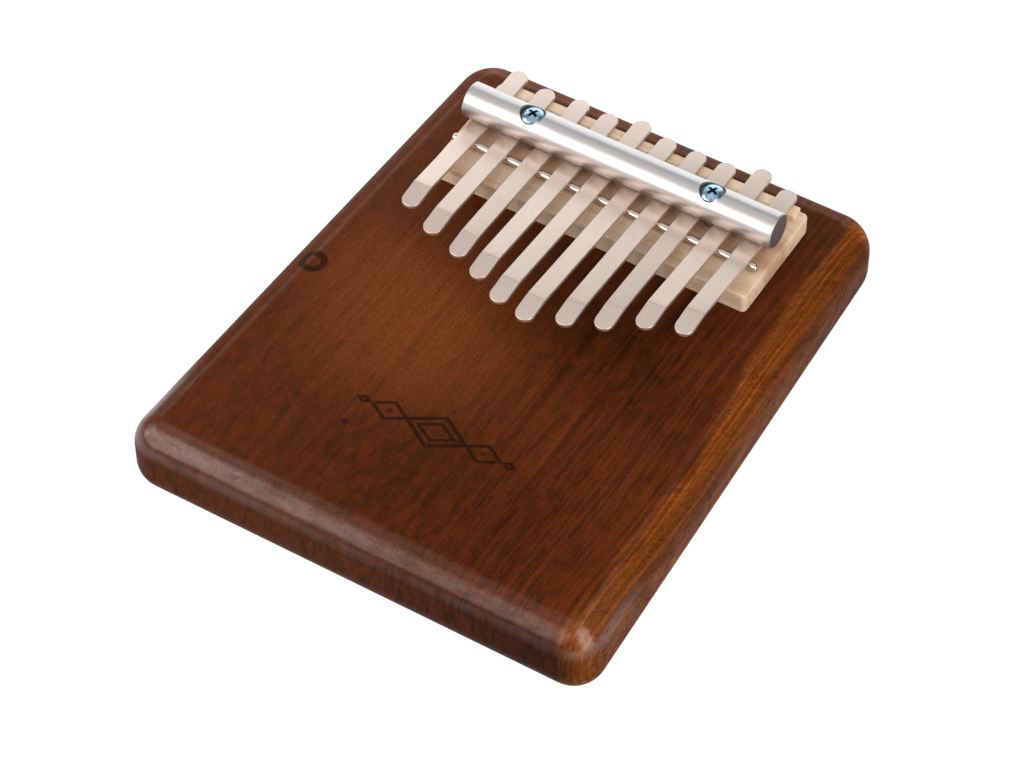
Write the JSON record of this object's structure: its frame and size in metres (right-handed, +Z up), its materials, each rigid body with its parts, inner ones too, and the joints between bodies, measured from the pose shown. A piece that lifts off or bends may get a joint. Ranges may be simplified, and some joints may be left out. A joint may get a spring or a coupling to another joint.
{
  "type": "mbira",
  "caption": "Mbira (thumb piano): flat steel keys held by a round rod on a pale bridge block, on a solid tapered wooden board with rounded edges.",
  "frame": {"origin": "centre of the board's underside", "axes": "+Z up, +Y from the player's wide end to the bridge end, +X along the pressure rod to the player's right"},
  "size_m": [0.1192, 0.142, 0.0362],
  "materials": {
    "board_wood": "glossy red-brown stain with dark pores",
    "block_wood": "raw pale wood, lightly sanded",
    "saddle_steel": "bright drawn wire",
    "rod_aluminium": "polished with fine turning marks",
    "screw_zinc": "blue zinc plating",
    "key_steel": "satin spring steel with light scratches"
  },
  "bodies": {
    "frame": {"board": "board_wood", "bridge_block": "block_wood", "rear_strip": "block_wood", "saddle_wire": "saddle_steel", "pressure_rod": "rod_aluminium", "clamp_screw_left": "screw_zinc", "clamp_screw_right": "screw_zinc", "key_1_clamped": "key_steel", "key_2_clamped": "key_steel", "key_3_clamped": "key_steel", "key_4_clamped": "key_steel", "key_5_clamped": "key_steel", "key_6_clamped": "key_steel", "key_7_clamped": "key_steel", "key_8_clamped": "key_steel", "key_9_clamped": "key_steel", "key_10_clamped": "key_steel"},
    "key_1": {"key_1_blade": "key_steel"},
    "key_2": {"key_2_blade": "key_steel"},
    "key_3": {"key_3_blade": "key_steel"},
    "key_4": {"key_4_blade": "key_steel"},
    "key_5": {"key_5_blade": "key_steel"},
    "key_6": {"key_6_blade": "key_steel"},
    "key_7": {"key_7_blade": "key_steel"},
    "key_8": {"key_8_blade": "key_steel"},
    "key_9": {"key_9_blade": "key_steel"},
    "key_10": {"key_10_blade": "key_steel"}
  },
  "joints": [
    {"name": "key_1_flex", "type": "hinge", "parent": "frame", "child": "key_1", "pos_m": [-0.03661, 0.0358, 0.0276], "axis": [1, 0, 0], "range_deg": [-2, 3], "stiffness_Nm_per_rad": 8.93},
    {"name": "key_2_flex", "type": "hinge", "parent": "frame", "child": "key_2", "pos_m": [-0.02819, 0.0358, 0.02757], "axis": [1, 0, 0], "range_deg": [-2, 3], "stiffness_Nm_per_rad": 7.63},
    {"name": "key_3_flex", "type": "hinge", "parent": "frame", "child": "key_3", "pos_m": [-0.01957, 0.0358, 0.02755], "axis": [1, 0, 0], "range_deg": [-2, 3], "stiffness_Nm_per_rad": 6.99},
    {"name": "key_4_flex", "type": "hinge", "parent": "frame", "child": "key_4", "pos_m": [-0.01165, 0.0358, 0.02759], "axis": [1, 0, 0], "range_deg": [-2, 3], "stiffness_Nm_per_rad": 6.16},
    {"name": "key_5_flex", "type": "hinge", "parent": "frame", "child": "key_5", "pos_m": [-0.00393, 0.0358, 0.02759], "axis": [1, 0, 0], "range_deg": [-2, 3], "stiffness_Nm_per_rad": 5.56},
    {"name": "key_6_flex", "type": "hinge", "parent": "frame", "child": "key_6", "pos_m": [0.00379, 0.0358, 0.0276], "axis": [1, 0, 0], "range_deg": [-2, 3], "stiffness_Nm_per_rad": 5.31},
    {"name": "key_7_flex", "type": "hinge", "parent": "frame", "child": "key_7", "pos_m": [0.01171, 0.0358, 0.02757], "axis": [1, 0, 0], "range_deg": [-2, 3], "stiffness_Nm_per_rad": 5.87},
    {"name": "key_8_flex", "type": "hinge", "parent": "frame", "child": "key_8", "pos_m": [0.01923, 0.0358, 0.02755], "axis": [1, 0, 0], "range_deg": [-2, 3], "stiffness_Nm_per_rad": 6.58},
    {"name": "key_9_flex", "type": "hinge", "parent": "frame", "child": "key_9", "pos_m": [0.02725, 0.0358, 0.0276], "axis": [1, 0, 0], "range_deg": [-2, 3], "stiffness_Nm_per_rad": 7.5},
    {"name": "key_10_flex", "type": "hinge", "parent": "frame", "child": "key_10", "pos_m": [0.03527, 0.0358, 0.02759], "axis": [1, 0, 0], "range_deg": [-2, 3], "stiffness_Nm_per_rad": 8.43}
  ]
}
